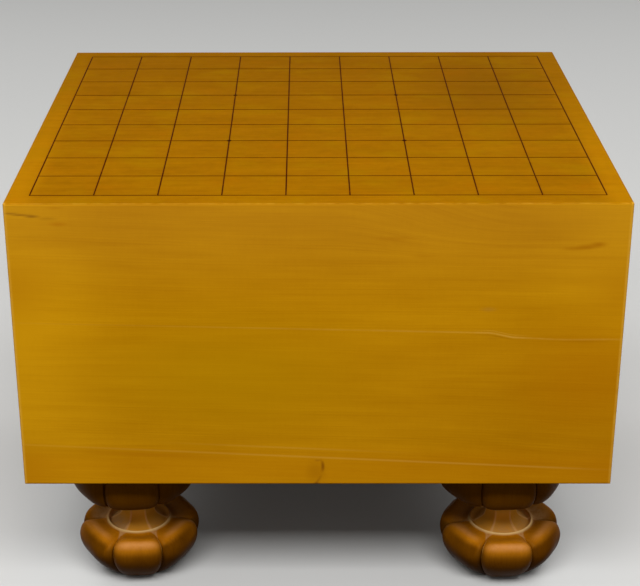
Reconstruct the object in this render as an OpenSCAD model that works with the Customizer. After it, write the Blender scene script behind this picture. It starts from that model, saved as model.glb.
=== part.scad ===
// Floor-standing shogi board: one thick block of wood on four carved legs.
// Millimetres, Z up. Z = 0 is the floor under the legs, X runs along the
// long side that faces the players' left and right, Y runs from one player
// to the other. The legs plug into round holes and pull straight down.

/* [Board block] */
// Long side of the block, across the files
board_width = 364; // [350:1:400]
// Short side of the block, along the files
board_depth = 333; // [320:1:370]
// Thickness of the block of wood
board_thickness = 186; // [120:1:240]
// Rounding of every edge of the block
edge_radius = 1.2; // [0.5:0.1:4]

/* [Playing grid] */
// Distance between file lines, the width of one square
file_pitch = 37.4; // [35:0.1:38]
// Distance between rank lines, the depth of one square
rank_pitch = 34.0; // [32:0.1:35]
// Width of a lacquer line
line_width = 1.0; // [0.6:0.1:1.6]
// Height of the lacquer above the wood
lacquer_proud = 0.15; // [0.1:0.05:0.4]
// Depth of the lacquer in the wood
lacquer_sunk = 0.1; // [0.1:0.05:0.3]
// Diameter of the four dots on the grid
star_diameter = 2.6; // [2:0.1:5]
// Free gap between a dot and the lines that stop at it
star_gap = 0.05; // [0.02:0.01:0.2]

/* [Recess under the board] */
// Side of the square recess in the middle of the underside
recess_side = 72; // [50:1:90]
// Depth of the recess at its walls
recess_depth = 16; // [10:1:24]
// Height of the low pyramid left on the floor of the recess
pyramid_height = 9; // [4:1:10]
// Width of the flat ledge between the pyramid and the walls
pyramid_ledge = 5; // [2:1:10]

/* [Leg joints] */
// Distance of a leg's axis from the nearest short side of the block
leg_inset_side = 61; // [50:0.5:75]
// Distance of a leg's axis from the nearest long side of the block
leg_inset_front = 59; // [50:0.5:75]
// Diameter of the round hole for a leg's tenon
mortise_diameter = 30; // [24:0.5:34]
// Gap all round between the tenon and its hole
tenon_clearance = 0.06; // [0.02:0.01:0.1]
// Gap between a leg's shoulder and the underside of the block
shoulder_gap = 0.05; // [0.02:0.01:0.2]
// Length of the tenon on a leg
tenon_length = 32; // [20:1:45]
// Free depth left above the tenon
tenon_end_gap = 2; // [1:0.5:5]
// Chamfer at the free end of the tenon
tenon_chamfer = 1.5; // [0.5:0.5:3]

/* [Leg, collar under the board] */
// Height of a leg from the floor to the underside of the block
leg_height = 93; // [88:1:110]
// Radius of the collar where it meets the block
shoulder_radius = 32.5; // [28:0.5:34]
// Largest radius of the collar, across the faces of its lobes
collar_radius = 40.5; // [36:0.5:42]
// Drop from the underside to the widest part of the collar
collar_drop = 18; // [14:0.5:19]
// Drop from the underside to the foot of the collar
collar_foot_drop = 36.8; // [36:0.2:38]
// Depth of the creases between the lobes of the collar
collar_crease = 8.6; // [4:0.2:9]

/* [Leg, waist and ring] */
// Radius of the six-sided waist, across its faces
waist_radius = 9; // [8.5:0.5:12]
// Drop from the underside to the waist
waist_drop = 48; // [46:0.5:49]
// Radius of the thin carved ring round the waist
ring_radius = 20.4; // [19.5:0.1:21]
// Drop from the underside to the edge of the ring
ring_drop = 59.6; // [58.8:0.1:60]
// Depth of the narrow grooves inside and outside the ring
ring_groove = 1.6; // [0.8:0.1:1.8]

/* [Leg, bulb] */
// Radius of the bulb across the faces of its lobes
bulb_radius = 39.8; // [36:0.2:42]
// Drop from the underside to the widest part of the bulb
bulb_drop = 66.5; // [65:0.5:68]
// Rise of the crest of a lobe above its widest part
crest_rise = 9; // [6:0.2:9.6]
// Depth of the creases between the lobes of the bulb
bulb_crease = 9.8; // [5:0.2:10.5]
// How far the creases lie below the crest of the lobes
crease_sag = 4.8; // [2:0.2:5]
// Radius of the flat base that stands on the floor
base_radius = 22; // [18:0.5:24]

/* [Leg turns] */
// Turn of the front left leg about its own axis, degrees
turn_front_left = 3; // [-15:1:15]
// Turn of the front right leg about its own axis, degrees
turn_front_right = 5; // [-15:1:15]
// Turn of the back left leg about its own axis, degrees
turn_back_left = -2; // [-15:1:15]
// Turn of the back right leg about its own axis, degrees
turn_back_right = 0; // [-15:1:15]

/* [Hidden] */
$fn = 96;
// How far a cutting shape reaches past the face that it cuts
cut = 2;
// A shogi board always has nine squares each way
cells = 9;
star_line = 3;
lobes = 6;
// Facets of a carved leg: steps round one lobe, always even
steps_in_lobe = 8;
// How flat the face of a lobe is: 0 is round, 1 is a flat face
lobe_flat = 0.8;
// How sharply a lobe turns down into its crease
crease_power = 4;

grid_width = cells * file_pitch;
grid_depth = cells * rank_pitch;
underside_z = leg_height;
top_z = leg_height + board_thickness;
line_bottom_z = top_z - lacquer_sunk;
line_height = lacquer_sunk + lacquer_proud;
leg_x = board_width / 2 - leg_inset_side;
leg_y = board_depth / 2 - leg_inset_front;
tenon_radius = mortise_diameter / 2 - tenon_clearance;
mortise_depth = tenon_length + tenon_end_gap;
pyramid_side = recess_side - 2 * pyramid_ledge;
pyramid_reach = pyramid_side / sqrt(2) * (pyramid_height + cut) / pyramid_height;

// Stations down the carved leg: face radius, drop below the underside,
// share of the crease depth, how far the crease lies below the face, and
// share of the flatness of a lobe. The first and the last lie past the
// ends, where the leg is cut flat.
collar_h = collar_foot_drop - collar_drop;
neck_h = waist_drop - collar_foot_drop;
skirt_h = ring_drop - waist_drop;
bulb_h = leg_height - bulb_drop;
stations = [
  [shoulder_radius * 0.94, -cut, 0.95, 0, 1],
  [shoulder_radius, 0, 0.95, 0, 1],
  [collar_radius * 0.94, collar_drop * 0.48, 1, 0, 1],
  [collar_radius, collar_drop, 1, 0, 1],
  [collar_radius * 0.98, collar_drop + collar_h * 0.46, 1, -collar_h * 0.02, 1],
  [collar_radius * 0.89, collar_drop + collar_h * 0.79, 1.1, -collar_h * 0.05, 1],
  [collar_radius * 0.706, collar_foot_drop, 1.3, -collar_h * 0.05, 0.9],
  [collar_radius * 0.444, collar_foot_drop + neck_h * 0.2, 1.1, 0, 0.8],
  [waist_radius * 1.2, collar_foot_drop + neck_h * 0.6, 0.4, 0, 1],
  [waist_radius, waist_drop, 0.2, 0, 1],
  [waist_radius * 1.03, waist_drop + skirt_h * 0.4, 0.2, 0, 1],
  [ring_radius * 0.5, waist_drop + skirt_h * 0.7, 0.1, 0, 1],
  [ring_radius * 0.62, waist_drop + skirt_h * 0.95, 0.1, 0, 1],
  [ring_radius * 0.765, ring_drop + ring_groove * 0.7, 0, 0, 0.9],
  [ring_radius * 0.88, ring_drop + ring_groove * 1.15, 0, 0, 0.3],
  [ring_radius * 0.955, ring_drop + ring_groove * 0.7, 0, 0, 0],
  [ring_radius, ring_drop, 0, 0, 0],
  [ring_radius * 1.08, ring_drop + ring_groove * 0.9, 0.05, 0, 0],
  [ring_radius * 1.2, ring_drop + ring_groove * 1.05, 0.22, crease_sag * 0.2, 0.4],
  [ring_radius * 1.41, ring_drop + ring_groove * 0.4, 0.5, crease_sag * 0.6, 0.75],
  [bulb_radius * 0.83, bulb_drop - crest_rise * 0.93, 0.8, crease_sag, 0.95],
  [bulb_radius * 0.9, bulb_drop - crest_rise, 0.9, crease_sag * 1.25, 1],
  [bulb_radius * 0.955, bulb_drop - crest_rise * 0.84, 0.96, crease_sag * 1.17, 1],
  [bulb_radius * 0.99, bulb_drop - crest_rise * 0.45, 0.98, crease_sag * 0.92, 1],
  [bulb_radius, bulb_drop + bulb_h * 0.03, 1, crease_sag * 0.62, 1],
  [bulb_radius * 0.977, bulb_drop + bulb_h * 0.29, 1, crease_sag * 0.3, 1],
  [bulb_radius * 0.877, bulb_drop + bulb_h * 0.57, 1.03, crease_sag * 0.12, 1],
  [base_radius * 1.32, bulb_drop + bulb_h * 0.8, 1.05, crease_sag * 0.04, 1],
  [base_radius * 1.11, bulb_drop + bulb_h * 0.93, 1.03, 0, 1],
  [base_radius, leg_height, 1, 0, 1],
  [base_radius * 0.9, leg_height + cut, 1, 0, 1]
];
last = len(stations) - 1;
// The stations of the waist, the ring and the crests lie close together
near_first = 7;
near_last = 23;
// From this station on the creases are those of the bulb
bulb_first = 13;

// Steps from one station to the next
function steps_from(i) =
  i == 0 || i == last - 1 || (i >= near_first && i <= near_last) ? 1 : 2;

// One point of a smooth curve through four stations
function blend(a, b, c, d, t) =
  0.5 * (2 * b + (c - a) * t + (2 * a - 5 * b + 4 * c - d) * t * t
  + (3 * b - a - 3 * c + d) * t * t * t);

function station_at(i) = stations[max(0, min(last, i))];

function crease_at(i) =
  i < bulb_first
  ? collar_crease * pow(station_at(i)[0] / collar_radius, 2)
  : bulb_crease * pow(station_at(i)[0] / bulb_radius, 2);

// Radius, drop, crease depth, sag and flatness at one station
function row_at(i) = [
  station_at(i)[0],
  station_at(i)[1],
  crease_at(i) * station_at(i)[2],
  station_at(i)[3],
  lobe_flat * station_at(i)[4]
];

rows = [for (i = [0:last - 1]) for (s = [0:steps_from(i) - 1])
  blend(row_at(i - 1), row_at(i), row_at(i + 1), row_at(i + 2), s / steps_from(i))];
all_rows = concat(rows, [row_at(last)]);
row_count = len(all_rows);
round_count = lobes * steps_in_lobe;

// Which lobe a step lies on, and where in it, from -1 at one crease to 1
// at the next; the steps crowd towards the creases
function lobe_of(k) = floor(k / steps_in_lobe + 0.5);
function in_lobe(k) = sin(180 * (k / steps_in_lobe - lobe_of(k)));
function angle_of(k) = (lobe_of(k) + in_lobe(k) / 2) * 360 / lobes;

function lobe_radius(row, u) =
  row[0] * (1 + row[4] * (1 / cos(180 / lobes * u) - 1)) - row[2] * pow(abs(u), crease_power);

function lobe_point(row, k) = [
  lobe_radius(row, in_lobe(k)) * sin(angle_of(k)),
  -lobe_radius(row, in_lobe(k)) * cos(angle_of(k)),
  leg_height - row[1] - row[3] * pow(abs(in_lobe(k)), crease_power)
];

leg_points = [for (row = all_rows) for (k = [0:round_count - 1]) lobe_point(row, k)];

function corner(i, k) = i * round_count + k % round_count;

// The surface of the leg is a grid of triangles, closed by one flat
// polygon at each end.
leg_faces = concat(
  [[for (k = [round_count - 1:-1:0]) corner(0, k)]],
  [for (i = [0:row_count - 2]) for (k = [0:round_count - 1])
    [corner(i, k), corner(i + 1, k + 1), corner(i + 1, k)]],
  [for (i = [0:row_count - 2]) for (k = [0:round_count - 1])
    [corner(i, k), corner(i, k + 1), corner(i + 1, k + 1)]],
  [[for (k = [0:round_count - 1]) corner(row_count - 1, k)]]
);

// Rectangle with round corners
module round_rectangle(w, d, r) {
  square([w - 2 * r, d], center = true);
  square([w, d - 2 * r], center = true);
  for (sx = [-1, 1]) for (sy = [-1, 1])
    translate([sx * (w / 2 - r), sy * (d / 2 - r)])
      circle(r = r);
}

// Block with all twelve edges rounded
module round_block(w, d, h, r) {
  intersection() {
    translate([0, 0, -cut])
      linear_extrude(height = h + 2 * cut)
        round_rectangle(w, d, r);
    translate([0, d / 2 + cut, h / 2])
      rotate([90, 0, 0])
        linear_extrude(height = d + 2 * cut)
          round_rectangle(w, h, r);
    translate([-w / 2 - cut, 0, h / 2])
      rotate([0, 90, 0])
        linear_extrude(height = w + 2 * cut)
          round_rectangle(h, d, r);
  }
}

// Places a leg, or the hole for it, at its corner of the block
module at_corner(sx, sy) {
  translate([sx * leg_x, sy * leg_y, 0])
    children();
}

// Centres of the lines, counted from the middle of the board
function line_at(i, pitch) = (i - cells / 2) * pitch;

module bars_along_depth() {
  for (i = [0:cells])
    translate([line_at(i, file_pitch) - line_width / 2, -(grid_depth + line_width) / 2, line_bottom_z])
      cube([line_width, grid_depth + line_width, line_height]);
}

module bars_along_width() {
  for (i = [0:cells])
    translate([-(grid_width + line_width) / 2, line_at(i, rank_pitch) - line_width / 2, line_bottom_z])
      cube([grid_width + line_width, line_width, line_height]);
}

module star_places() {
  for (i = [star_line, cells - star_line]) for (j = [star_line, cells - star_line])
    translate([line_at(i, file_pitch), line_at(j, rank_pitch), line_bottom_z])
      children();
}

module star_discs(extra) {
  star_places()
    cylinder(h = line_height, d = star_diameter + 2 * extra);
}

module recess() {
  difference() {
    translate([-recess_side / 2, -recess_side / 2, underside_z - cut])
      cube([recess_side, recess_side, recess_depth + cut]);
    translate([0, 0, underside_z + recess_depth - pyramid_height])
      rotate([0, 0, 45])
        cylinder(h = pyramid_height + cut, r1 = 0, r2 = pyramid_reach, $fn = 4);
  }
}

module mortise() {
  translate([0, 0, underside_z - cut])
    cylinder(h = mortise_depth + cut, d = mortise_diameter);
}

// The block: edge-rounded, with four holes and the square recess below,
// and shallow scores on top that the lacquer fills
module board_block() {
  color([0.80, 0.60, 0.25])
    difference() {
      translate([0, 0, underside_z])
        round_block(board_width, board_depth, board_thickness, edge_radius);
      for (sx = [-1, 1]) for (sy = [-1, 1])
        at_corner(sx, sy)
          mortise();
      recess();
      bars_along_depth();
      bars_along_width();
      star_discs(0);
    }
}

// Lacquer lines between the files, drawn first and unbroken
module file_lines() {
  color([0.06, 0.05, 0.04])
    difference() {
      bars_along_depth();
      star_discs(star_gap);
    }
}

// Lacquer lines between the ranks, which meet the sides of the file lines
module rank_lines() {
  color([0.06, 0.05, 0.04])
    difference() {
      bars_along_width();
      bars_along_depth();
      star_discs(star_gap);
    }
}

// Four lacquer dots, three squares in from the sides
module star_points() {
  color([0.06, 0.05, 0.04])
    star_discs(0);
}

// One carved leg, standing on the floor on the board's corner axis
module leg() {
  intersection() {
    polyhedron(points = leg_points, faces = leg_faces, convexity = 6);
    cylinder(h = leg_height - shoulder_gap, r = 2 * bulb_radius);
  }
  translate([0, 0, leg_height - cut])
    cylinder(h = tenon_length + cut - tenon_chamfer, r = tenon_radius);
  translate([0, 0, leg_height + tenon_length - tenon_chamfer])
    cylinder(h = tenon_chamfer, r1 = tenon_radius, r2 = tenon_radius - tenon_chamfer);
}

module turned_leg(sx, sy, turn) {
  color([0.55, 0.34, 0.12])
    at_corner(sx, sy)
      rotate([0, 0, turn])
        leg();
}

module leg_front_left() {
  turned_leg(-1, -1, turn_front_left);
}

module leg_front_right() {
  turned_leg(1, -1, turn_front_right);
}

module leg_back_left() {
  turned_leg(-1, 1, turn_back_left);
}

module leg_back_right() {
  turned_leg(1, 1, turn_back_right);
}

board_block();
file_lines();
rank_lines();
star_points();
leg_front_left();
leg_front_right();
leg_back_left();
leg_back_right();
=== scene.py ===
"""A floor-standing shogi board: a thick block of aged kaya wood ruled in raised
lacquer, on four carved legs. Metres, Z up, the floor at Z = 0."""

import math

import bpy
import numpy as np
from mathutils import Matrix, Vector


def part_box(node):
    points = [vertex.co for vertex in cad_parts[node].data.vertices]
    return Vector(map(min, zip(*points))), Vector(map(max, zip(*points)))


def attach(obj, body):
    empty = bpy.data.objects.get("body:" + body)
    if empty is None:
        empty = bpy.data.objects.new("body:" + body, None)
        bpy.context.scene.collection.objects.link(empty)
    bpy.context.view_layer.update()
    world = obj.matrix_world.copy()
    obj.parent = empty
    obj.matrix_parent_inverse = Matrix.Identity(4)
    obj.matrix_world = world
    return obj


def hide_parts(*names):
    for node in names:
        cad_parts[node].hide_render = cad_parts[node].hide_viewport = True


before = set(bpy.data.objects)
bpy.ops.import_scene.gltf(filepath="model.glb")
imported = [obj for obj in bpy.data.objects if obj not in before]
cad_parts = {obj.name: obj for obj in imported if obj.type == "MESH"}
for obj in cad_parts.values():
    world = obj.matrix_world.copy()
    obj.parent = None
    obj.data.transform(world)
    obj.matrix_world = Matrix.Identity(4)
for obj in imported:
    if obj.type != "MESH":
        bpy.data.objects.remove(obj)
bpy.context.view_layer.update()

# The picture: the board is seen from a little above its front side, straight
# across the player's seat, and the picture is cut a little off centre.
block_low, block_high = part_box("board_block")
top_z = block_high[2]
eye = (-0.0079, -1.0328, top_z + 0.3207)
look_down = math.radians(23.518)
look_right = math.radians(-0.331)
roll = math.radians(-0.180)
film_width = 36.0
picture_pixels = 640
focal_pixels = 1603.84
off_centre = 0.0375

camera = bpy.data.objects.new("camera", bpy.data.cameras.new("camera"))
camera.data.sensor_width = film_width
camera.data.lens = film_width * focal_pixels / picture_pixels
camera.data.shift_x = off_centre
camera.data.clip_start = 0.01
camera.matrix_world = (
    Matrix.Translation(eye)
    @ Matrix.Rotation(-look_right, 4, "Z")
    @ Matrix.Rotation(math.pi / 2 - look_down, 4, "X")
    @ Matrix.Rotation(roll, 4, "Z")
)
bpy.context.collection.objects.link(camera)
bpy.context.scene.camera = camera
bpy.context.scene.view_settings.view_transform = "Standard"

# Floor: one wide plain sheet. To the eye it is pale; towards the board it
# gives back less light, as the dark cloth of a picture table does, so the
# underside and the legs keep their shade.
floor_reach = 30.0
plain_pale = (0.64, 0.64, 0.63, 1.0)
dark_cloth = (0.06, 0.057, 0.054, 1.0)


class Nodes:
    """A tree of nodes that grows one node at a time. Every value that is fed
    in is a number, a tuple or the output of an earlier node."""

    def __init__(self, tree):
        self.tree = tree

    def feed(self, socket, value):
        if isinstance(value, bpy.types.NodeSocket):
            self.tree.links.new(value, socket)
        else:
            socket.default_value = value

    def node(self, kind, feeds, out=0, **settings):
        """Adds one node; feeds maps an input's name or number to its value."""
        made = self.tree.nodes.new("ShaderNode" + kind)
        for name, value in settings.items():
            setattr(made, name, value)
        for key, value in feeds.items():
            self.feed(made.inputs[key], value)
        return made.outputs[out]

    def work(self, operation, *values):
        """Arithmetic on one, two or three numbers."""
        return self.node("Math", dict(enumerate(values)), operation=operation)

    def larger(self, first, *others):
        for other in others:
            first = self.work("MAXIMUM", first, other)
        return first

    def smooth(self, value, start, end, low=0.0, high=1.0):
        """Goes smoothly from low, at start, to high, at end."""
        feeds = {0: value, 1: start, 2: end, 3: low, 4: high}
        return self.node("MapRange", feeds, interpolation_type="SMOOTHSTEP")

    def seen(self):
        """1 to the eye, to a mirror and through glass, 0 to all other light."""
        rays = ("Is Camera Ray", "Is Glossy Ray", "Is Transmission Ray")
        return self.larger(*(self.node("LightPath", {}, out=ray) for ray in rays))


class Finish(Nodes):
    """A material, with the nodes that colour it."""

    def __init__(self, name):
        self.material = bpy.data.materials.new(name)
        self.material.use_nodes = True
        super().__init__(self.material.node_tree)
        self.shader = self.tree.nodes["Principled BSDF"]

    def set(self, socket, value):
        """Sets or feeds one socket of the surface's own shader."""
        self.feed(self.shader.inputs[socket], value)

    def tint(self, share, under, over):
        """Lays one colour over another by a share."""
        feeds = {0: share, 6: under, 7: over}
        return self.node("Mix", feeds, out=2, data_type="RGBA", blend_type="MIX")

    def on(self, piece):
        piece.data.materials.clear()
        piece.data.materials.append(self.material)


floor_mesh = bpy.data.meshes.new("floor")
floor_mesh.from_pydata(
    [(x * floor_reach, y * floor_reach, 0.0) for x, y in ((-1, -1), (1, -1), (1, 1), (-1, 1))],
    [],
    [(0, 1, 2, 3)],
)
floor = bpy.data.objects.new("floor", floor_mesh)
bpy.context.collection.objects.link(floor)

floor_finish = Finish("floor")
floor_finish.set("Base Color", floor_finish.tint(floor_finish.seen(), dark_cloth, plain_pale))
floor_finish.set("Roughness", 0.9)
floor_finish.set("Specular IOR Level", 0.0)
floor_finish.on(floor)

# Light: one wide soft box in front of the board and above it, narrow ones
# far out to the sides, weak ones behind, and even light from all round.
even_light = 0.43

room = bpy.data.worlds.new("room")
room.use_nodes = True
bpy.context.scene.world = room
air = Nodes(room.node_tree)
background = room.node_tree.nodes["Background"]
air.feed(background.inputs["Color"], plain_pale)
air.feed(background.inputs["Strength"], air.smooth(air.seen(), 0.0, 1.0, even_light, 1.0))


def soft_box(name, turn, rise, away, wide, high, watts):
    """A lamp that faces the middle of the front side: turn degrees to the
    right of straight ahead of it, rise degrees up, and away metres off."""
    aim = Vector((0.0, block_low[1], (block_low[2] + block_high[2]) / 2))
    turn = math.radians(turn)
    rise = math.radians(rise)
    level = math.cos(rise)
    toward = Vector((math.sin(turn) * level, -math.cos(turn) * level, math.sin(rise)))
    lamp = bpy.data.objects.new(name, bpy.data.lights.new(name, "AREA"))
    lamp.data.shape = "RECTANGLE"
    lamp.data.size = wide
    lamp.data.size_y = high
    lamp.data.energy = watts
    facing = (-toward).to_track_quat("-Z", "Y").to_matrix().to_4x4()
    lamp.matrix_world = Matrix.Translation(aim + away * toward) @ facing
    bpy.context.collection.objects.link(lamp)


soft_box("soft_box_front", turn=0, rise=52, away=1.5, wide=1.5, high=0.55, watts=26.5)
soft_box("soft_box_left", turn=-84, rise=56, away=1.7, wide=0.5, high=0.8, watts=5.0)
soft_box("soft_box_right", turn=84, rise=56, away=1.7, wide=0.5, high=0.8, watts=4.6)
soft_box("soft_box_back_left", turn=-142, rise=30, away=2.3, wide=0.8, high=0.8, watts=7.5)
soft_box("soft_box_back_right", turn=142, rise=30, away=2.3, wide=0.8, high=0.8, watts=7.5)

# The block: one piece of kaya wood cut well clear of the heart of the tree,
# so its rings run in long arcs over the ends and in straight lines along the
# sides. Planed, waxed, and turned honey-coloured with age.
heart_y = 230.0
heart_z = -400.0
ring_spacing = 1.05
front_y = 1000 * block_low[1]
half_width = 1000 * block_high[0]
half_depth = 1000 * block_high[1]
thickness = 1000 * (block_high[2] - block_low[2])


def paint(red, green, blue):
    """A colour as it looks on a screen, 0 to 255, as a linear colour."""
    levels = np.array([red, green, blue]) / 255
    linear = np.where(levels <= 0.04045, levels / 12.92, ((levels + 0.055) / 1.055) ** 2.4)
    return (*map(float, linear), 1.0)


class Aged(Finish):
    """A finish with grain, stains and wear, worked out for every point from
    where it lies on the piece. All its lengths are in millimetres."""

    def plus(self, first, *others):
        for other in others:
            first = self.work("ADD", first, other)
        return first

    def minus(self, value, less):
        return self.work("SUBTRACT", value, less)

    def times(self, first, *others):
        for other in others:
            first = self.work("MULTIPLY", first, other)
        return first

    def scaled(self, value, factor, added):
        """A value times a factor, and then something added."""
        return self.work("MULTIPLY_ADD", value, factor, added)

    def swing(self, value, noise, amount):
        """Lets a noise move a value up and down, by half the amount each way."""
        return self.scaled(self.minus(noise, 0.5), amount, value)

    def between(self, value, middle, half):
        """1 where value is at middle, falling to 0 at half a width away."""
        return self.smooth(self.work("ABSOLUTE", self.minus(value, middle)), half, 0.0)

    def vector(self, operation, *values, out=0):
        """Arithmetic on vectors."""
        return self.node("VectorMath", dict(enumerate(values)), out=out, operation=operation)

    def length(self, vector):
        return self.vector("LENGTH", vector, out=1)

    def parts(self, value, kind="XYZ"):
        """The three numbers of a vector, or of a colour with kind Color."""
        made = self.tree.nodes.new("ShaderNodeSeparate" + kind)
        self.feed(made.inputs[0], value)
        return made.outputs

    def place(self, shift=(0.0, 0.0, 0.0)):
        """Where a point of the piece lies, moved by a shift."""
        metres = self.node("TexCoord", {}, out="Object")
        return self.vector("MULTIPLY_ADD", metres, (1000.0, 1000.0, 1000.0), shift)

    def spot(self, at, centre, reach):
        """A soft patch: 1 at its centre, falling to 0 at reach along each axis."""
        away = self.vector("DIVIDE", self.vector("SUBTRACT", at, centre), reach)
        return self.smooth(self.length(away), 1.0, 0.0)

    def noise(self, at, often, detail=2.0, roughness=0.5):
        """Smooth noise from 0 to 1; often says how many of its features lie in
        a millimetre along x, y and z."""
        feeds = {
            "Vector": self.vector("MULTIPLY", at, often),
            "Scale": 1.0,
            "Detail": detail,
            "Roughness": roughness,
        }
        return self.node("TexNoise", feeds)

    def noise_along(self, value, often, detail=2.0):
        """Smooth noise from 0 to 1 that changes with one number only."""
        feeds = {"W": self.times(value, often), "Scale": 1.0, "Detail": detail}
        return self.node("TexNoise", feeds, noise_dimensions="1D")

    def bump(self, height, metres):
        """Bends the normal by a height whose full range is so many metres."""
        feeds = {"Strength": 1.0, "Distance": metres, "Height": height}
        self.set("Normal", self.node("Bump", feeds))


kaya = Aged("kaya_block")
at = kaya.place((0.0, 0.0, -1000.0 * top_z))
x, y, z = kaya.parts(at)
out_x = kaya.work("ABSOLUTE", x)
out_y = kaya.work("ABSOLUTE", y)

# The grain falls a little towards the right, more so low down, and dips
# once under the top edge right of the middle, as it does beside a branch.
dip_depth = 24.0
lean = kaya.smooth(z, -75.0, -170.0, 0.026, 0.05)
lean = kaya.times(lean, kaya.smooth(y, front_y + 60, front_y + 10))
level_z = kaya.scaled(x, lean, z)
dip = kaya.times(kaya.smooth(x, 10.0, 120.0), kaya.smooth(z, -42.0, -12.0, 0.0, dip_depth))
dip = kaya.times(dip, kaya.smooth(y, front_y + 16, front_y + 1))
wander = kaya.swing(0.0, kaya.noise(at, (1 / 400, 1 / 60, 1 / 60), detail=1.0), 12.0)


def ring_radius(across_y, height):
    """Distance from the heart of the tree in the plane across the grain."""
    feeds = {1: kaya.minus(across_y, heart_y), 2: kaya.minus(height, heart_z)}
    return kaya.length(kaya.node("CombineXYZ", feeds))


grown = kaya.plus(ring_radius(y, kaya.plus(level_z, dip)), wander)
years = kaya.scaled(grown, 1 / ring_spacing, kaya.noise_along(grown, 0.12))
season = kaya.work("FRACT", years)
late = kaya.times(kaya.smooth(season, 0.3, 0.85), kaya.smooth(season, 1.0, 0.9))
strong = kaya.noise_along(grown, 0.31, detail=1.0)
late = kaya.times(late, kaya.smooth(strong, 0.35, 0.75, 0.2, 1.0))

# Fine fibres, broader streaks along them, flecks across them, and clouds.
# Each makes the wood a little lighter in some places and darker in others.
fibre = kaya.noise(at, (1 / 45, 1.5, 1.5), detail=3.0, roughness=0.6)
with_grain = kaya.node("CombineXYZ", {0: x, 1: grown})
streak = kaya.noise(with_grain, (1 / 95, 0.33, 1.0), detail=3.0, roughness=0.6)
fleck = kaya.noise(at, (0.5, 0.11, 0.11))
cloud = kaya.noise(at, (1 / 75, 1 / 26, 1 / 20), detail=3.0, roughness=0.55)
share = 0.40
for grain, amount in ((fibre, 0.17), (streak, 0.55), (fleck, 0.10), (cloud, 0.45)):
    share = kaya.swing(share, grain, amount)
share = kaya.scaled(late, -0.06, share)

# The sides: yellower towards both ends, most at the top corners, and down the left edge, olive in the
# middle, redder low on the right, warm at both ends and along the foot.
paler_ends = kaya.times(kaya.smooth(out_x, 115.0, 182.0), kaya.smooth(z, -170.0, 0.0, 0.20, 0.32))
left_edge = kaya.times(kaya.smooth(x, -95.0, -175.0), kaya.smooth(z, -20.0, -60.0, 0.05, 0.24))
below_top = kaya.smooth(z, -12.0, -70.0, 0.0, 0.14)
foot = kaya.smooth(z, -155.0, -183.0, 0.0, 0.06)
reddish = kaya.times(kaya.smooth(x, 20.0, 170.0), kaya.smooth(z, -50.0, -130.0, 0.0, 0.28))
side_share = kaya.minus(kaya.plus(share, paler_ends, left_edge, below_top, foot), reddish)
colour = kaya.tint(side_share, paint(168, 108, 0), paint(208, 148, 11))
colour = kaya.tint(kaya.smooth(z, -75.0, 0.0, 0.0, 0.10), colour, paint(200, 142, 60))
olive = kaya.spot(at, (-55.0, front_y, -112.0), (130.0, 140.0, 62.0))
colour = kaya.tint(kaya.times(olive, 0.55), colour, paint(180, 131, 1))
warm_height = kaya.plus(kaya.between(z, -52.0, 34.0), kaya.smooth(z, -140.0, -172.0))
warm_end = kaya.times(kaya.smooth(out_x, 140.0, 182.0), warm_height)
colour = kaya.tint(kaya.times(warm_end, 0.45), colour, paint(176, 112, 6))
colour = kaya.tint(kaya.smooth(z, -154.0, -172.0, 0.0, 0.24), colour, paint(196, 116, 2))
red_spot = kaya.spot(at, (168.0, front_y, -112.0), (75.0, 150.0, 62.0))
colour = kaya.tint(kaya.times(red_spot, 0.5), colour, paint(178, 108, 1))

# Two pale rings of soft wood show as long thin lines, each with a fainter
# twin above it. The upper one steps down once, with a dark edge under it
# there, and the lower one has a darker band under it.
upper_z = -79.9
stepped_z = -82.5
lower_z = -166.8
upper_fall = -0.0235
lower_fall = -0.0495
line_half = 0.6
step_down = kaya.smooth(x, 101.0, 118.0, upper_z, stepped_z)
step_down = kaya.scaled(kaya.between(x, 146.0, 34.0), -0.8, step_down)
upper_ring = ring_radius(front_y, kaya.scaled(x, upper_fall, step_down))
lower_ring = ring_radius(front_y, kaya.scaled(x, lower_fall, lower_z))
plain_ring = ring_radius(y, z)
off_upper = kaya.minus(plain_ring, upper_ring)
off_lower = kaya.minus(plain_ring, lower_ring)
broken = kaya.smooth(kaya.noise(at, (1 / 9, 1 / 9, 1 / 9)), 0.3, 0.6, 0.55, 1.1)
along_upper = kaya.smooth(x, -150.0, 90.0, 0.05, 0.18)
along_upper = kaya.scaled(kaya.between(x, 112.0, 28.0), 0.18, along_upper)
upper_glow = kaya.times(kaya.between(off_upper, 0.0, line_half), along_upper, broken)
upper_twin = kaya.times(kaya.between(off_upper, 0.95, 0.4), kaya.between(x, 110.0, 22.0))
upper_edge = kaya.times(kaya.between(off_upper, -0.9, line_half), kaya.between(x, 106.0, 24.0))
along_lower = kaya.smooth(x, -190.0, 30.0, 0.08, 0.22)
along_lower = kaya.times(along_lower, kaya.smooth(x, 178.0, 140.0, 0.2, 1.0))
lower_glow = kaya.times(kaya.between(off_lower, 0.0, line_half), along_lower)
lower_twin = kaya.times(kaya.between(off_lower, 3.0, line_half), kaya.between(x, -20.0, 90.0))
lower_band = kaya.times(kaya.between(off_lower, -1.6, 1.6), kaya.between(x, -105.0, 75.0))
soft_wood = (222, 172, 76)
lines = (
    (upper_glow, 1.0, soft_wood),
    (upper_twin, 0.15, soft_wood),
    (lower_glow, 1.0, soft_wood),
    (lower_twin, 0.14, soft_wood),
    (upper_edge, 0.35, (148, 90, 4)),
    (lower_band, 0.35, (168, 100, 2)),
)
for line, amount, tone in lines:
    colour = kaya.tint(kaya.times(line, amount), colour, paint(*tone))

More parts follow.
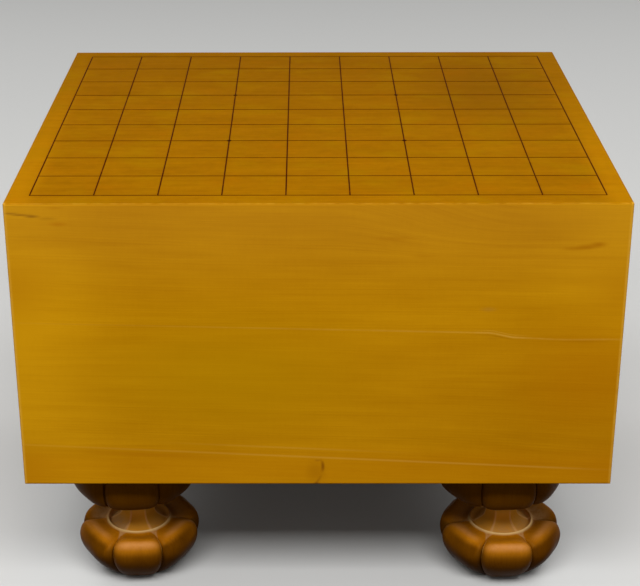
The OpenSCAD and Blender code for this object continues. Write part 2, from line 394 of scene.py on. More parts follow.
# A small bark pocket near the foot of the front side: a short dark stroke
# that bends, strong above and fading below, a few millimetres deep.
pocket_x = 3.4
pocket_z = -173.6
pocket_bend = -0.032
bow = kaya.work("POWER", kaya.work("ABSOLUTE", kaya.minus(z, pocket_z)), 2.0)
off_bow = kaya.minus(x, kaya.scaled(bow, pocket_bend, pocket_x))
tail = kaya.times(kaya.between(z, -184.0, 7.0), 0.5)
pocket = kaya.times(kaya.larger(kaya.between(z, -173.0, 6.0), tail), kaya.between(off_bow, 0.0, 1.7))
pocket = kaya.times(pocket, 0.72, kaya.smooth(y, front_y + 8, front_y + 2))
colour = kaya.tint(pocket, colour, paint(112, 56, 8))

# Stains on the front side: where across and how far down, the reach both
# ways, the strength and the tone. They go in for a dozen millimetres.
stain_deep = 12.0
stains = (
    ((0.2, -169.0), (3.4, 1.2), 0.35, (140, 84, 20)),
    ((-0.4, -184.8), (2.8, 1.2), 0.40, (106, 58, 20)),
    ((-1.0, -177.0), (9.0, 12.0), 0.32, (148, 88, 4)),
    ((-178.0, -6.2), (7.5, 1.1), 0.50, (124, 78, 22)),
    ((-172.0, -7.1), (8.5, 1.2), 0.58, (122, 74, 18)),
    ((-165.5, -8.0), (6.5, 1.6), 0.62, (116, 70, 18)),
    ((-156.5, -9.3), (9.0, 1.8), 0.28, (140, 90, 14)),
    ((-150.5, -12.8), (8.0, 2.4), 0.34, (168, 94, 4)),
    ((-152.0, -2.8), (8.0, 1.3), 0.26, (168, 98, 6)),
    ((149.5, -28.3), (11.0, 2.2), 0.40, (158, 90, 2)),
    ((156.8, -27.3), (9.0, 2.6), 0.46, (152, 82, 1)),
    ((163.0, -25.8), (7.0, 2.6), 0.50, (150, 80, 1)),
    ((101.0, -67.0), (7.0, 2.4), 0.16, (136, 104, 60)),
    ((104.0, -86.2), (8.0, 2.0), 0.18, (150, 90, 6)),
    ((160.0, -88.0), (26.0, 2.2), 0.30, (160, 96, 2)),
    ((45.0, -22.0), (16.0, 2.2), 0.22, (160, 92, 2)),
    ((62.0, -33.0), (11.0, 1.8), 0.20, (158, 92, 2)),
)
for (stain_x, stain_z), (reach_x, reach_z), strength, tone in stains:
    stain = kaya.spot(at, (stain_x, front_y, stain_z), (reach_x, stain_deep, reach_z))
    colour = kaya.tint(kaya.times(stain, strength), colour, paint(*tone))

# The ends of the block show cut fibres, which take up more dirt and wax.
end_face = kaya.smooth(out_x, half_width - 0.9, half_width - 0.1)
end_tone = kaya.tint(kaya.minus(1.0, late), paint(150, 92, 6), paint(180, 118, 14))
colour = kaya.tint(kaya.times(end_face, 0.6), colour, end_tone)

# The playing surface is painted darker than the sides, as shade that offsets the stronger light
# falling on it. It is a shade browner inside the grid than on its margin. It is painted lighter on its
# margin towards the near side and darker towards the far side, as painted light and shade. It is
# mottled, olive here and redder there.
inside = kaya.times(kaya.smooth(out_x, 172.0, 160.0), kaya.smooth(out_y, 158.0, 149.0))
margin = kaya.times(kaya.smooth(out_x, 160.0, 176.0), kaya.smooth(y, 160.0, -160.0, 0.12, 0.42))
mottle = kaya.noise(at, (1 / 9, 1 / 6, 1 / 6), detail=3.0, roughness=0.65)
top_share = kaya.scaled(inside, -0.10, kaya.plus(share, 0.10))
top_share = kaya.swing(top_share, mottle, 0.45)
top_colour = kaya.tint(kaya.plus(top_share, margin), paint(122, 76, 0), paint(162, 107, 2))
# Painted shade: the top is darker towards the far side.
top_colour = kaya.tint(kaya.smooth(y, -100.0, 165.0, 0.0, 0.38), top_colour, paint(114, 69, 0))
hue = kaya.noise(at, (1 / 42, 1 / 30, 1 / 30), detail=4.0, roughness=0.6)
top_colour = kaya.tint(kaya.smooth(hue, 0.45, 0.75, 0.0, 0.55), top_colour, paint(143, 102, 0))
top_colour = kaya.tint(kaya.smooth(hue, 0.45, 0.20, 0.0, 0.40), top_colour, paint(152, 88, 0))
darker = kaya.spot(at, (118.0, 62.0, 0.0), (70.0, 120.0, 20.0))
top_colour = kaya.tint(kaya.times(darker, 0.45), top_colour, paint(106, 66, 2))
colour = kaya.tint(kaya.smooth(z, -1.25, -0.35), colour, top_colour)
underneath = kaya.smooth(z, 0.8 - thickness, 0.1 - thickness)
colour = kaya.tint(kaya.times(underneath, 0.45), colour, paint(120, 76, 8))

# The upright edges are rubbed pale, partly as wear and partly as a painted highlight, the others only
# here and there. The distance to the nearest level edge is the larger of the distances to the nearer
# end or side and to the nearer of the top and the bottom.
to_end = kaya.minus(half_width, out_x)
to_side = kaya.minus(half_depth, out_y)
to_level = kaya.minus(thickness / 2, kaya.work("ABSOLUTE", kaya.plus(z, thickness / 2)))
to_upright = kaya.larger(to_end, to_side)
to_flat_edge = kaya.larger(kaya.work("MINIMUM", to_end, to_side), to_level)
nicks = kaya.noise(at, (0.12, 0.12, 0.12), detail=3.0)
upright_rub_and_highlight = kaya.times(kaya.smooth(to_upright, 2.4, 0.7), kaya.smooth(nicks, 0.3, 0.7, 0.5, 0.85))
flat_rub_and_highlight = kaya.times(kaya.smooth(to_flat_edge, 1.0, 0.25), kaya.smooth(nicks, 0.3, 0.7, 0.02, 0.34))
colour = kaya.tint(kaya.larger(upright_rub_and_highlight, flat_rub_and_highlight), colour, paint(214, 160, 52))

kaya.set("Base Color", colour)
kaya.set("Roughness", kaya.smooth(streak, 0.2, 0.8, 0.48, 0.40))
kaya.set("Specular IOR Level", 0.001)
kaya.set("Specular Tint", (1.0, 0.72, 0.35, 1.0))
kaya.bump(kaya.scaled(late, 0.4, kaya.times(fibre, 0.6)), 0.00004)
kaya.on(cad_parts["board_block"])

# Lacquer: dark lines laid along the files, then across the ranks, then a dot
# at each corner of the middle nine squares. Each fills a shallow score in
# the wood and stands a hair proud, with a rounded back and round ends.
cells = 9
star_line = 3
file_pitch = 0.0374
rank_pitch = 0.0340
line_reach = 0.0004
lacquer_sunk = 0.00005
file_half_wide = 0.00036
file_height = 0.00013
rank_half_wide = 0.00022
rank_height = 0.00014
star_radius = 0.0015
star_height = 0.00015
sharp_edge = math.radians(48)


def solid(name, points, *face_sets):
    """A mesh object from an array of points and arrays of face corners."""
    mesh = bpy.data.meshes.new(name)
    faces = [face for faces in face_sets for face in faces.tolist()]
    mesh.from_pydata(points.reshape(-1, 3).tolist(), [], faces)
    mesh.shade_smooth()
    mesh.set_sharp_from_angle(angle=sharp_edge)
    piece = bpy.data.objects.new(name, mesh)
    bpy.context.collection.objects.link(piece)
    return piece


def grid_faces(rows, columns):
    """Corners of the faces of a grid that closes on itself along its columns."""
    row, column = np.mgrid[0 : rows - 1, 0:columns]
    after = (column + 1) % columns
    here = row * columns
    below = here + columns
    corners = [here + column, below + column, below + after, here + after]
    return np.stack(corners, axis=-1).reshape(-1, 4)


def capped(name, points, swapped):
    """Like pieces as one mesh. Points are numbered by piece, row and column.
    Each row closes on itself, and one face fills the first and the last.
    Swapped turns the faces over, for rows that run the other way round."""
    count, rows, columns, _ = points.shape
    step = rows * columns
    faces = grid_faces(rows, columns)
    start = np.arange(columns)
    caps = np.stack([start, (start + step - columns)[::-1]])
    if swapped:
        faces = faces[:, ::-1]
        caps = caps[:, ::-1]
    first = step * np.arange(count)[:, None, None]
    quads = (faces + first).reshape(-1, 4)
    return solid(name, points, quads, (caps + first).reshape(-1, columns))


def lacquer_bars(name, places, reach, along, half_wide, height):
    """Bars with a half-round back. Across a bar the surface runs through the
    profile points, side to side, times half the width; along it the width
    breathes with two slow sine waves. Near an end the width and the height
    are times the square root of 1 - (1 - s) squared, with s the distance
    from the end over the end's reach, which closes it as a half circle."""
    half = np.array([(0.0, -1.0), (0.98, -1.0), (0.99, 0.0), (1.04, 0.08), (0.99, 0.45),
                     (0.78, 0.78), (0.42, 0.95), (0.0, 1.0)])
    half[:, 1] = np.where(half[:, 1] < 0, -lacquer_sunk, half[:, 1] * height)
    ring = np.concatenate([half, half[-2:0:-1] * (-1, 1)])
    ends = line_reach * (1 - np.cos(np.linspace(0.02, math.pi / 2, 6)))
    middle = np.linspace(ends[-1], 2 * reach - ends[-1], 60)[1:-1]
    run = np.concatenate([ends, middle, 2 * reach - ends[::-1]]) - reach
    from_end = np.minimum(reach - np.abs(run), line_reach) / line_reach
    closing = np.sqrt(1 - (1 - from_end) ** 2)

    phase = 2.4 * np.arange(len(places))[:, None]
    width = 1 + 0.03 * np.sin(run * 71 + phase) + 0.02 * np.sin(run * 173 + 2 * phase)
    width = half_wide * width * closing
    across = places[:, None, None] + ring[:, 0] * width[:, :, None]
    back = np.where(ring[:, 1] > 0, ring[:, 1] * closing[:, None], ring[:, 1])
    up = np.broadcast_to(top_z + back, across.shape)
    run = np.broadcast_to(run[:, None], across.shape)
    order = (across, run, up) if along == "y" else (run, across, up)
    return capped(name, np.stack(order, axis=-1), swapped=along == "x")


def lacquer_dots(name, places, radius, height):
    """Round drops: a half-ellipse profile carried once round each centre. The
    radius is times 1 + 0.04 sin 2a + 0.03 sin 3a, with a the turn, and each
    drop has a phase of its own in both waves."""
    profile = np.array([(0.98, -1.0), (0.99, 0.0), (1.02, 0.08), (0.95, 0.5), (0.75, 0.8),
                        (0.45, 0.95), (0.15, 1.0)])
    profile[:, 1] = np.where(profile[:, 1] < 0, -lacquer_sunk, profile[:, 1] * height)
    turn = np.linspace(0, 2 * math.pi, 32, endpoint=False)
    count = np.arange(len(places))[:, None, None]
    uneven = 1 + 0.04 * np.sin(2 * turn + count) + 0.03 * np.sin(3 * turn + 2 * count)
    out = radius * profile[:, :1] * uneven
    level = np.broadcast_to(top_z + profile[:, 1:], out.shape)
    middle_x, middle_y = places.T[:, :, None, None]
    points = [middle_x + out * np.cos(turn), middle_y + out * np.sin(turn), level]
    return capped(name, np.stack(points, axis=-1), swapped=True)


steps = np.arange(cells + 1) - cells / 2
file_reach = rank_pitch * cells / 2 + line_reach
rank_reach = file_pitch * cells / 2 + line_reach
file_bars = lacquer_bars("file_bars", steps * file_pitch, file_reach, "y", file_half_wide, file_height)
rank_bars = lacquer_bars("rank_bars", steps * rank_pitch, rank_reach, "x", rank_half_wide, rank_height)
stars = steps[[star_line, cells - star_line]]
star_places = np.array([(a * file_pitch, b * rank_pitch) for a in stars for b in stars])
star_drops = lacquer_dots("star_drops", star_places, star_radius, star_height)


def lacquer_finish(name, fresh, thin):
    """Lacquer that is worn thin in small patches."""
    lacquer = Aged(name)
    at = lacquer.place()
    rub = lacquer.noise(at, (0.22, 0.22, 0.22), detail=3.0, roughness=0.6)
    worn = lacquer.smooth(rub, 0.50, 0.80, 0.0, 0.7)
    lacquer.set("Base Color", lacquer.tint(worn, fresh, thin))
    lacquer.set("Roughness", lacquer.smooth(rub, 0.3, 0.75, 0.34, 0.5))
    lacquer.set("Specular IOR Level", 0.002)
    lacquer.set("Specular Tint", (1.0, 0.7, 0.35, 1.0))
    lacquer.bump(lacquer.noise(at, (0.9, 0.9, 0.9)), 0.00002)
    return lacquer


line_lacquer = lacquer_finish("line_lacquer", paint(62, 12, 0), paint(116, 50, 1))
dot_lacquer = lacquer_finish("dot_lacquer", paint(34, 3, 0), paint(74, 22, 0))
drawn = (
    (file_bars, "file_lines", line_lacquer),
    (rank_bars, "rank_lines", line_lacquer),
    (star_drops, "star_points", dot_lacquer),
)
for piece, node, lacquer in drawn:
    lacquer.on(piece)
    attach(piece, "board")
    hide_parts(node)

# Legs: four feet in the form of a gardenia fruit, each carved by eye from one
# piece of straight-grained wood and rubbed to a soft shine. A round tenon on
# top plugs into its hole in the block, and nothing else holds the leg.
leg_height = block_low[2]
leg_inset_side = 0.061
leg_inset_front = 0.059
leg_x = block_high[0] - leg_inset_side
leg_y = block_high[1] - leg_inset_front
shoulder_gap = 0.00005
tenon_radius = 0.01494
tenon_length = 0.032
tenon_chamfer = 0.0015
lobes = 6
lobes_beside = (1, 5)
lobes_behind = (2, 3, 4)
steps_in_lobe = 40

# Down the leg from its shoulder to the floor, in millimetres: radius and
# height along the middle of a lobe, how far the crease between two lobes
# lies inside and below it, how flat the lobe is, how sharp its edges are,
# and how finely the stretch below is stepped.
carved = np.array([
    (32.2, 92.95, 4.4, 0.0, 0.7, 4.0, 6),
    (37.5, 84.5, 6.2, 0.0, 0.75, 4.0, 10),
    (40.0, 75.0, 6.8, 0.0, 0.8, 4.0, 12),
    (39.4, 66.6, 6.6, -0.4, 0.8, 4.0, 12),
    (36.1, 60.8, 5.8, -0.9, 0.8, 4.0, 10),
    (28.6, 57.1, 4.4, -1.0, 0.7, 4.0, 8),
    (18.0, 54.4, 2.0, 0.0, 0.6, 3.0, 6),
    (10.8, 49.6, 0.3, 0.0, 0.8, 3.0, 5),
    (8.9, 44.6, 0.0, 0.0, 0.95, 4.0, 6),
    (9.0, 40.4, 0.0, 0.0, 0.95, 4.0, 8),
    (10.2, 37.0, 0.0, 0.0, 0.95, 4.0, 8),
    (12.6, 34.8, 0.0, 0.0, 0.95, 4.0, 7),
    (15.6, 33.2, 0.0, 0.0, 0.75, 4.0, 6),
    (17.9, 32.7, 0.0, 0.0, 0.2, 4.0, 6),
    (19.4, 33.4, 0.0, 0.0, 0.0, 4.0, 6),
    (20.2, 34.6, 0.0, 0.0, 0.0, 4.0, 6),
    (21.1, 34.3, 0.0, 0.0, 0.0, 4.0, 6),
    (22.4, 33.2, 0.1, 0.1, 0.0, 4.0, 6),
    (24.6, 33.2, 1.0, 1.2, 0.3, 4.0, 8),
    (28.4, 34.4, 3.0, 3.4, 0.6, 4.0, 10),
    (32.2, 35.4, 5.4, 5.6, 0.75, 3.6, 8),
    (35.0, 35.3, 7.2, 6.2, 0.8, 3.4, 8),
    (37.5, 33.6, 8.6, 5.6, 0.8, 3.4, 8),
    (39.2, 30.2, 9.4, 4.4, 0.8, 3.4, 9),
    (39.9, 25.6, 9.8, 3.0, 0.8, 3.4, 12),
    (38.2, 18.8, 9.3, 1.4, 0.8, 3.6, 14),
    (33.6, 11.4, 7.8, 0.6, 0.8, 3.8, 12),
    (27.4, 5.2, 5.6, 0.2, 0.8, 4.0, 9),
    (22.8, 1.8, 3.8, 0.0, 0.8, 4.0, 6),
    (20.8, 0.4, 3.0, 0.0, 0.8, 4.0, 4),
    (20.0, 0.0, 2.8, 0.0, 0.8, 4.0, 1),
])
shoulder_height = carved[0, 1]
foot_of_collar = 5
waist = 8
ring_lip = 15
crest = 21
full_station = 32.0


def through(rows, counts):
    """A smooth curve through rows of numbers. Between two rows it is the
    cubic that leaves and arrives along the slopes there; the parameter runs
    with the square root of the distance. Also returns the station number,
    which is the row above plus the share of the way to the next."""
    gap = np.sqrt(np.linalg.norm(np.diff(rows[:, :2], axis=0), axis=1))
    knots = np.concatenate([[0.0], np.cumsum(gap)])
    slope = np.gradient(rows, knots, axis=0)
    stretches = [i + np.arange(n) / n for i, n in enumerate(counts[:-1])]
    number = np.concatenate([*stretches, [len(counts) - 1.0]])
    i = np.minimum(number.astype(int), len(counts) - 2)
    t = (number - i)[:, None]
    h = gap[i][:, None]
    curve = (
        (2 * t**3 - 3 * t**2 + 1) * rows[i] + (t**3 - 2 * t**2 + t) * h * slope[i]
        + (3 * t**2 - 2 * t**3) * rows[i + 1] + (t**3 - t**2) * h * slope[i + 1]
    )
    return curve, number


def ramp(value, start, end):
    """Goes smoothly from 0 at start to 1 at end."""
    t = np.clip((value - start) / (end - start), 0, 1)
    return t * t * (3 - 2 * t)


def hinge(share, start=0.88, rounding=0.03, full=0.2437):
    """Next to 0 up to the start, then a straight rise to 1 at 1, with a round
    bend between: past plus the square root of past squared and rounding
    squared, over its full value, with past the share less the start."""
    past = share - start
    return (np.sqrt(past**2 + rounding**2) + past) / full


def carved_leg(name, axis, collar, bulb, stout, dust, off_axis, sunk, phase):
    """A leg as a surface of two parameters: the row down the leg and u, which
    runs from -1 to 1 across each lobe. The radius is that of the row, times
    how stout the lobe is, times the stretch of a flat face, which is
    1 + flat (1 / cos a - 1) with a the angle from the lobe's middle. The
    depth of the crease comes off it times 0.9 |u| to the power of the
    sharpness, and times the hinge of |u|, which counts for 0.04 on the
    collar and for 0.10 below it. The sharpness is that of the row, and 1.3
    more on every lobe but the two beside the front one. The height sags as
    the power does, and two sine waves of 0.1 mm are what a hand leaves.
    Creases lie at the given angles from the front, in degrees, for the
    collar above the waist and for the bulb below it. The bulb may stand a
    little off the axis of the tenon, and its crests a little low."""
    rows, number = through(carved[:, :6], carved[:, 6].astype(int))
    radius, height, depth, sag, flat, sharp = (column[:, None] for column in rows.T)
    flat = np.clip(flat, 0, 1)
    depth = np.maximum(depth, 0)
    low = ramp(number, foot_of_collar, waist)[:, None]
    columns = lobes * steps_in_lobe
    count = np.arange(columns)
    lobe = count // steps_in_lobe
    u = np.sin(math.pi * ((count % steps_in_lobe) / steps_in_lobe - 0.5))[None, :]
    crease = (1 - low) * np.array(collar) + low * np.array(bulb)
    after = np.concatenate([crease[:, 1:], crease[:, :1] + 360], axis=1)
    middle = np.radians((crease + after) / 2)[:, lobe]
    half = np.radians((after - crease) / 2)[:, lobe]
    angle = middle + half * u

    bent = np.abs(u) ** (sharp + np.where(np.isin(lobe, lobes_beside), 0.0, 1.3))
    plump = 1 + (np.array(stout)[lobe] - 1) * (1 - u**4) * ramp(radius, 22, 34)
    stretch = 1 + flat * (1 / np.cos(half * u) - 1)
    groove = 0.04 + 0.06 * low
    out = radius * plump * stretch - depth * (0.9 * bent + groove * hinge(np.abs(u)))
    wave = np.sin(5 * angle + height / 9 + phase) + np.sin(11 * angle - height / 5 + 2 * phase)
    out = out + 0.10 * wave * ramp(radius, 22, 30)
    rise = height - sag * bent
    rise = rise - sunk * ramp(rise, 6, 24) * ramp(rise, 50, 42)
    rise = np.clip(rise, 0, shoulder_height)
    middle_x, middle_y = axis
    shift_x = low * off_axis[0] + out * np.sin(angle)
    shift_y = low * off_axis[1] - out * np.cos(angle)
    points = np.stack([middle_x + shift_x / 1000, middle_y + shift_y / 1000, rise / 1000], axis=-1)

    # The tenon stands on the shoulder: the rim of its end, its chamfer and
    # its foot. A last round of points lies halfway in on the flat base, and
    # one point at each end of the leg closes it.
    tenon_top = leg_height + tenon_length
    turn = angle[0]
    plug = np.array([
        (tenon_radius - tenon_chamfer, tenon_top),
        (tenon_radius, tenon_top - tenon_chamfer),
        (tenon_radius, leg_height - shoulder_gap),
    ])
    plug_x = middle_x + plug[:, :1] * np.sin(turn)
    plug_y = middle_y - plug[:, :1] * np.cos(turn)
    plug = np.stack([plug_x, plug_y, np.broadcast_to(plug[:, 1:], plug_x.shape)], axis=-1)
    base = points[-1] * (1, 1, 0)
    hub = np.array([middle_x, middle_y, 0.0])
    points = np.concatenate([plug, points, (base * 0.5 + hub * 0.5)[None]])
    here = np.arange(columns)
    there = (here + 1) % columns
    last = (len(points) - 1) * columns
    pole = np.full(columns, len(points) * columns)
    top_fan = np.stack([pole, here, there], axis=-1)
    base_fan = np.stack([last + there, last + here, pole + 1], axis=-1)
    grid = grid_faces(len(points), columns)
    ends = np.array([[middle_x, middle_y, tenon_top], hub])
    points = np.concatenate([points.reshape(-1, 3), ends])
    piece = solid(name, points, grid, top_fan, base_fan)

    # What the finish needs to follow the carving: red is |u|, green is the
    # station as a share, and blue is the grey film that stays in the hollow
    # round the ring, on the facets of the neck and on the slopes behind.
    side = np.broadcast_to(np.abs(u), out.shape)
    station = number[:, None]
    dusty = np.array(dust)[lobe]
    reach = ring_lip + 1.3 + 2.9 * side**5
    valley = ramp(station, ring_lip, ring_lip + 1) * ramp(station, reach, reach - 1.0)
    neck = ramp(station, waist + 1, waist + 4) * ramp(station, ring_lip + 0.5, ring_lip - 1)
    slope = ramp(station, ring_lip + 0.5, ring_lip + 1.5) * ramp(station, crest + 0.3, crest - 2.7)
    slope = slope * np.isin(lobe, lobes_behind)
    film = np.maximum(np.maximum(0.8 * valley, neck * dusty), slope * dusty)
    one = np.ones_like(side)
    carving = np.stack([side, station / full_station * one, film, one], axis=-1)

    # Two more: how far a point is turned from the front, in degrees, and
    # whether it is on the front lobe. Each layer has one value for all of
    # the tenon and one for all of the base.
    turned = np.degrees(np.abs(np.arctan2(np.sin(angle), np.cos(angle))))
    front = np.broadcast_to(lobe == 0, out.shape)
    layers = (
        ("carving", "FLOAT_COLOR", "color", carving, (0.0, 0.0, 0.0, 1.0), (0.0, 1.0, 0.0, 1.0)),
        ("turned", "FLOAT", "value", turned, (0.0,), (180.0,)),
        ("front_lobe", "FLOAT", "value", front, (0.0,), (0.0,)),
    )
    for label, kind, field, values, on_tenon, on_base in layers:
        tenon = np.tile(on_tenon, (3 * columns, 1))
        bottom = np.tile(on_base, (columns + 2, 1))
        values = np.concatenate([tenon, values.reshape(-1, len(on_tenon)), bottom])
        layer = piece.data.attributes.new(label, kind, "POINT")
        layer.data.foreach_set(field, values.astype(np.float32).ravel())
    return piece


leg_wood = Aged("leg_wood")
at = leg_wood.place()
x, y, height = leg_wood.parts(at)
carving = leg_wood.node("Attribute", {}, attribute_name="carving")
side, station, film = leg_wood.parts(carving, "Color")
station = leg_wood.times(station, full_station)
turned = leg_wood.node("Attribute", {}, out="Fac", attribute_name="turned")
in_front = leg_wood.node("Attribute", {}, out="Fac", attribute_name="front_lobe")

# Straight grain, upright: growth rings round a heart well outside the leg.
leg_ring_spacing = 1.5
from_heart = leg_wood.length(leg_wood.node("CombineXYZ", {0: x, 1: y}))
drift = leg_wood.noise(at, (1 / 25, 1 / 25, 1 / 90))
years = leg_wood.times(leg_wood.scaled(drift, 9.0, from_heart), 1 / leg_ring_spacing)
season = leg_wood.work("FRACT", years)
late = leg_wood.times(leg_wood.smooth(season, 0.3, 0.9), leg_wood.smooth(season, 1.0, 0.9))
fade = leg_wood.noise(at, (1 / 12, 1 / 12, 1 / 30), detail=1.0)
late = leg_wood.times(late, leg_wood.smooth(fade, 0.4, 0.7))
fibre = leg_wood.noise(at, (0.8, 0.8, 1 / 22), detail=3.0, roughness=0.6)
patch = leg_wood.noise(at, (1 / 9, 1 / 9, 1 / 18), detail=3.0)
share = leg_wood.swing(leg_wood.swing(0.55, fibre, 0.8), patch, 0.8)
share = leg_wood.scaled(late, -0.18, share)
colour = leg_wood.tint(share, paint(136, 77, 1), paint(176, 107, 8))

# The wood is painted browner towards the floor, on the lobes beside the front one, on the outer side
# of the front right leg and on the collar under the block. This is painted shade where less light
# falls. Close under the block the collar is painted a little less dark, as painted light.
front_less = leg_wood.scaled(in_front, -0.11, 0.27)
shade_near_floor = leg_wood.times(leg_wood.smooth(height, 27.0, 17.0), front_less)
low = leg_wood.plus(leg_wood.smooth(height, 32.5, 26.0, 0.0, 0.62), shade_near_floor)
# Painted shade on the lobes beside the front one.
side_lobe_shade = leg_wood.smooth(turned, 24.0, 33.0, 0.0, 0.72)
side_lobe_shade = leg_wood.times(side_lobe_shade, leg_wood.smooth(turned, 84.0, 48.0, 0.2, 1.0))
side_lobe_shade = leg_wood.times(side_lobe_shade, leg_wood.smooth(station, crest - 0.5, crest + 1.6))
low = leg_wood.larger(low, side_lobe_shade)
colour = leg_wood.tint(low, colour, paint(52, 26, 1))
# Painted shade on the outer side of the front right leg.
outer_shade_centre = (1000 * leg_x + 31, -1000 * leg_y - 10, 22.0)
outer_side_shade = leg_wood.spot(at, outer_shade_centre, (30.0, 50.0, 32.0))
colour = leg_wood.tint(leg_wood.times(outer_side_shade, 0.72), colour, paint(66, 32, 1))
# The collar is painted dark as the shadow of the block, a little less so close under the block, where
# that is painted light.
collar_shadow = leg_wood.smooth(height, 47.0, 56.0, 0.0, 0.80)
collar_shadow = leg_wood.minus(collar_shadow, leg_wood.smooth(height, 60.0, 90.0, 0.0, 0.34))
colour = leg_wood.tint(collar_shadow, colour, paint(62, 31, 0))

# The neck is bare and pale, and is painted paler still as light against the shade of the block, most
# of all close under the collar, where the paint is painted light. Grey dust has settled in patches on
# it and in the hollow round the ring.
bare_neck_and_light = leg_wood.smooth(station, ring_lip + 0.5, ring_lip - 1.0)
bare_neck_and_light = leg_wood.times(leg_wood.smooth(station, 6.5, 9.0), bare_neck_and_light)
colour = leg_wood.tint(leg_wood.times(bare_neck_and_light, 0.75), colour, paint(226, 154, 44))
light_under_collar = leg_wood.times(bare_neck_and_light, leg_wood.smooth(height, 38.0, 46.0, 0.0, 0.6))
colour = leg_wood.tint(light_under_collar, colour, paint(248, 190, 84))
grime = leg_wood.noise(at, (1 / 3, 1 / 3, 1 / 4), detail=4.0, roughness=0.6)
film = leg_wood.times(film, leg_wood.smooth(grime, 0.3, 0.6, 0.45, 0.85))
colour = leg_wood.tint(film, colour, paint(180, 136, 88))

# The creases of the bulb are painted brown as the shade that falls in them, least beside the front
# lobe. Hands and feet have rubbed the lip of the ring pale, and it fades towards the back as painted
# shade. The edges of the lobes, the front lobe most, and the ridges of the neck are painted pale,
# partly as rubbed wear and partly as a painted highlight.
on_bulb = leg_wood.smooth(station, ring_lip + 1.5, ring_lip + 4.5)
crease_shade_start = leg_wood.smooth(station, crest, crest + 2.0, 0.93, 0.62)
crease_shade = leg_wood.times(leg_wood.smooth(side, crease_shade_start, 1.0, 0.0, 0.7), on_bulb)
crease_shade = leg_wood.times(crease_shade, leg_wood.smooth(turned, 42.0, 66.0, 0.1, 1.0))
colour = leg_wood.tint(crease_shade, colour, paint(78, 42, 1))
lip = leg_wood.between(station, ring_lip + 0.5, 1.4)
# Fading the pale lip towards the back is painted shade.
lip = leg_wood.times(lip, leg_wood.smooth(turned, 105.0, 72.0), 0.95)
colour = leg_wood.tint(lip, colour, paint(232, 192, 126))
front_more = leg_wood.scaled(in_front, 0.52, 0.06)
arris_wear_and_highlight = leg_wood.times(leg_wood.between(side, 0.92, 0.06), front_more)
arris_wear_and_highlight = leg_wood.times(arris_wear_and_highlight, leg_wood.smooth(station, crest - 3.0, crest))
arris_wear_and_highlight = leg_wood.times(arris_wear_and_highlight, leg_wood.smooth(low, 0.8, 0.2, 0.03, 1.0))
colour = leg_wood.tint(arris_wear_and_highlight, colour, paint(220, 168, 84))
ridge_wear_and_highlight = leg_wood.times(leg_wood.smooth(side, 0.8, 1.0, 0.0, 0.5), bare_neck_and_light)
colour = leg_wood.tint(ridge_wear_and_highlight, colour, paint(232, 180, 118))

# Round the crest of each lobe lies a painted highlight: a broad warm band, and in it a thin pale one,
# which is broken up. On the front lobe they lie further down.
past_crest = leg_wood.minus(station, leg_wood.scaled(in_front, 2.0, crest - 1.3))
crest_highlight_band = leg_wood.between(past_crest, 0.0, 2.6)
crest_highlight_band = leg_wood.times(crest_highlight_band, leg_wood.smooth(side, 1.0, 0.6, 0.0, 0.4))
crest_highlight_band = leg_wood.times(crest_highlight_band, leg_wood.smooth(turned, 100.0, 60.0, 0.3, 0.75))
colour = leg_wood.tint(crest_highlight_band, colour, paint(214, 138, 36))
crest_highlight_line = leg_wood.between(past_crest, 0.0, 1.25)
crest_highlight_line = leg_wood.times(crest_highlight_line, leg_wood.smooth(side, 0.95, 0.4, 0.0, 0.30))
crest_highlight_line = leg_wood.times(crest_highlight_line, leg_wood.smooth(turned, 100.0, 70.0))
crest_highlight_line = leg_wood.times(crest_highlight_line, leg_wood.scaled(in_front, 0.4, 0.6))
crest_highlight_line = leg_wood.times(crest_highlight_line, leg_wood.smooth(grime, 0.2, 0.7, 0.6, 1.0))
colour = leg_wood.tint(crest_highlight_line, colour, paint(234, 170, 116))

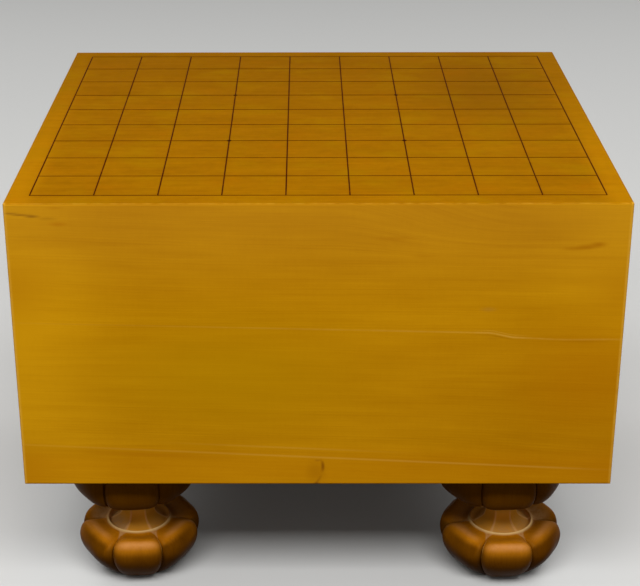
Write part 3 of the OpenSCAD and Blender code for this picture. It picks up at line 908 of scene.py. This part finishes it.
polish = leg_wood.smooth(patch, 0.3, 0.7, 0.28, 0.38)
leg_wood.set("Base Color", colour)
leg_wood.set("Roughness", leg_wood.scaled(film, 0.35, polish))
leg_wood.set("Specular IOR Level", 0.01)
leg_wood.set("Specular Tint", (1.0, 0.62, 0.28, 1.0))
leg_wood.bump(leg_wood.scaled(late, 0.3, leg_wood.times(fibre, 0.6)), 0.00006)

# How each leg differs from the others: the end and the side of the board it
# stands on, where its creases lie, how stout and how dusty its lobes are,
# how far its bulb is off the axis and how low its crests are, and its waves.
plans = {
    "front_left": dict(
        stands=(-1, -1),
        collar=(-23.5, 31.5, 91, 150, 211, 270),
        bulb=(-24.8, 30.9, 91.5, 152, 211, 269),
        stout=(1.0, 1.0, 0.985, 0.97, 0.945, 0.99),
        dust=(0.12, 0.35, 0.35, 0.5, 0.95, 0.95),
        off_axis=(2.2, 0.8),
        sunk=0.0,
        phase=0.4,
    ),
    "front_right": dict(
        stands=(1, -1),
        collar=(-24.1, 31.0, 93, 154, 214, 274),
        bulb=(-27.0, 30.4, 92, 152, 213, 273),
        stout=(1.0, 1.0, 0.985, 0.97, 0.985, 1.02),
        dust=(0.6, 0.5, 0.7, 0.5, 0.3, 0.2),
        off_axis=(2.0, -0.8),
        sunk=0.6,
        phase=1.9,
    ),
    "back_left": dict(
        stands=(-1, 1),
        collar=(-31, 28, 88, 149, 208, 268),
        bulb=(-32, 29, 88, 148, 209, 267),
        stout=(1.0, 0.99, 1.01, 1.0, 1.0, 1.01),
        dust=(0.4, 0.6, 0.3, 0.7, 0.2, 0.5),
        off_axis=(0.3, -0.4),
        sunk=0.3,
        phase=3.1,
    ),
    "back_right": dict(
        stands=(1, 1),
        collar=(-30, 31, 90, 149, 210, 271),
        bulb=(-29, 30, 91, 150, 209, 270),
        stout=(1.0, 1.0, 0.99, 1.0, 1.01, 1.0),
        dust=(0.5, 0.3, 0.6, 0.3, 0.7, 0.4),
        off_axis=(-0.4, 0.3),
        sunk=0.2,
        phase=4.6,
    ),
}
for place, plan in plans.items():
    side_x, side_y = plan.pop("stands")
    leg = carved_leg("leg_carved_" + place, (side_x * leg_x, side_y * leg_y), **plan)
    leg_wood.on(leg)
    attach(leg, "leg_" + place)
    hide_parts("leg_" + place)
